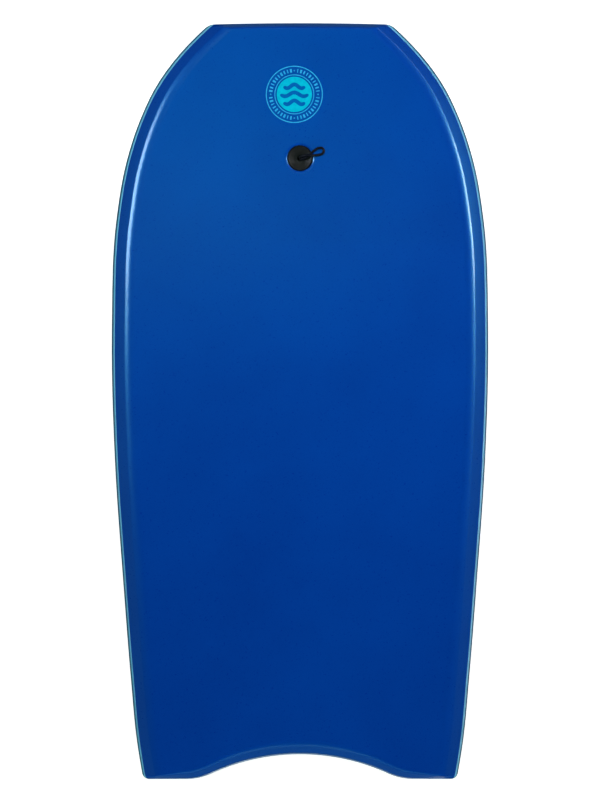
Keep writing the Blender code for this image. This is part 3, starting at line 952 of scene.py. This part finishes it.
def make_world():
    """Dim overhead and brighter towards the horizon."""
    world = bpy.data.worlds.new("studio")
    bpy.context.scene.world = world
    world.use_nodes = True
    tree = world.node_tree
    direction = node(tree, "TexCoord").outputs["Generated"]
    up = node(tree, "SeparateXYZ", Vector=direction).outputs["Z"]
    surroundings = ramp(tree, up, *SURROUNDINGS)
    seen = node(tree, "LightPath").outputs["Is Camera Ray"]
    colour = node(tree, "MixRGB", Fac=seen, Color1=surroundings, Color2=BACKDROP)
    background = tree.nodes["Background"]
    tree.links.new(colour.outputs["Color"], background.inputs["Color"])
    background.inputs["Strength"].default_value = 1.0


def make_camera():
    """A camera far above the deck, which looks straight down."""
    data = bpy.data.cameras.new("camera")
    data.sensor_width = SENSOR
    data.lens = SENSOR * (CAMERA_PLACE[2] - FRAME_LEVEL) / FRAME_HEIGHT
    data.clip_end = VIEW_LIMIT
    camera = bpy.data.objects.new("camera", data)
    bpy.context.scene.collection.objects.link(camera)
    camera.location = CAMERA_PLACE
    bpy.context.scene.camera = camera


# ------------------------------------------------------------------------------ the object


def dress(item, material, body, slot, *nodes):
    """Gives a piece its material and its body, and hides the CAD nodes that it stands for. The slot is
    not used.
    """
    item.data.materials.clear()
    item.data.materials.append(material)
    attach(item, body)
    if nodes:
        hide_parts(*nodes)


def build_board(hole):
    deck, edge, bright, dark, pale = (foam(name, *look) for name, look in FOAMS.items())
    add_clear_coat(deck, DECK_COAT, DECK_COAT_ROUGHNESS)
    layers = (
        ("textured_deck", SKIN_TOP, SKIN_UNDER, deck, "deck_foam", "deck_skin"),
        ("bead_core", CORE_TOP, CORE_UNDER, beads("core_foam"), "core_foam", "core"),
        ("bottom_foam", BACKING_TOP, BACKING_UNDER, pale, "backing_foam", "bottom_backing"),
        ("glossy_bottom", SLICK_TOP, SLICK_UNDER, slick("slick_skin"), "slick_skin", "slick_bottom"),
    )
    for name, top, under, material, slot, cad_node in layers:
        layer = make_layer(name, top, under)
        cut(layer, hole)
        face_outwards(layer)
        shade(layer, FINE_SHARP_ANGLE)
        dress(layer, material, "board", slot, cad_node)
    sides = strip_stations(ROWS, LENGTH)
    ends = strip_stations(COLUMNS, 2 * NOSE_CORNER_X)
    for side, column in (("left", -1), ("right", 1)):
        place = partial(side_strip_point, column)
        # The lower rail's dark teal is painted shade of the rail's outer face, below the bright upper
        # rail.
        lower = make_strip(f"foam_rail_{side}_lower", LOWER_RAIL, sides, place)
        dress(lower, dark, "board", "lower_rail_foam", f"rail_{side}_lower")
        upper = make_strip(f"foam_rail_{side}_upper", UPPER_RAIL, sides, place)
        dress(upper, bright, "board", "rail_foam", f"rail_{side}_upper")
    nose = make_strip("foam_nose_bumper", END_STRIP, ends, partial(end_strip_point, 1))
    dress(nose, edge, "board", "edge_foam", "nose_bumper")
    tail = make_strip("foam_tail_strip", END_STRIP, ends, partial(end_strip_point, 0))
    dress(tail, edge, "board", "edge_foam", "tail_strip")


def build_plug():
    black = plastic("plug_plastic")
    dress(turned("dished_plug_top", PLUG_TOP_PROFILE), black, "board", "plug_plastic", "plug_top")
    bottom = turned("moulded_plug_bottom", PLUG_BOTTOM_PROFILE)
    dress(bottom, black, "board", "plug_plastic", "plug_bottom")


def build_string():
    cloth = nylon("string_cord")
    string, route, knot, ends = make_string()
    dress(string, cloth, "string", "string_cord", "leash_string")
    dress(knot, cloth, "string", "string_cord", "string_knot")
    for end in ends:
        dress(end, cloth, "string", "string_cord")


def build_badge():
    line_ink = ink("line_ink", *LINE_INK)
    cyan_ink = ink("cyan_ink", *CYAN_INK)
    blue_ink = ink("blue_ink", *BLUE_INK)
    lines = [ring_patch(*ring) for ring in BADGE_RINGS]
    for mark in range(BADGE_MARKS):
        angle = WHOLE_TURN * mark / BADGE_MARKS
        if mark % MARKS_TO_A_DOT == 0:
            lines.append(dot_patch(DOT_PLACE * math.cos(angle), DOT_PLACE * math.sin(angle)))
        else:
            lines.append(bar_patch(angle, math.radians(BAR_WIDTHS[mark % len(BAR_WIDTHS)])))
    dress(film("badge_lines", lines), line_ink, "board", "deck_foam")
    disc = film("badge_disc", [ring_patch(*BADGE_DISC, across=8)])
    dress(disc, cyan_ink, "board", "deck_foam")
    waves = [wave_patch(*shape) for shape in BADGE_WAVES]
    dress(film("badge_waves", waves, layer=1), blue_ink, "board", "deck_foam")


def main():
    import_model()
    bpy.context.scene.view_settings.view_transform = "Standard"
    make_camera()
    build_string()
    build_plug()
    hole = turned("hole_cutter", PLUG_HOLE_PROFILE, closed=False)
    build_board(hole)
    bpy.data.objects.remove(hole)
    build_badge()
    make_floor()
    make_world()
    for light in LIGHTS:
        make_light(*light)


main()
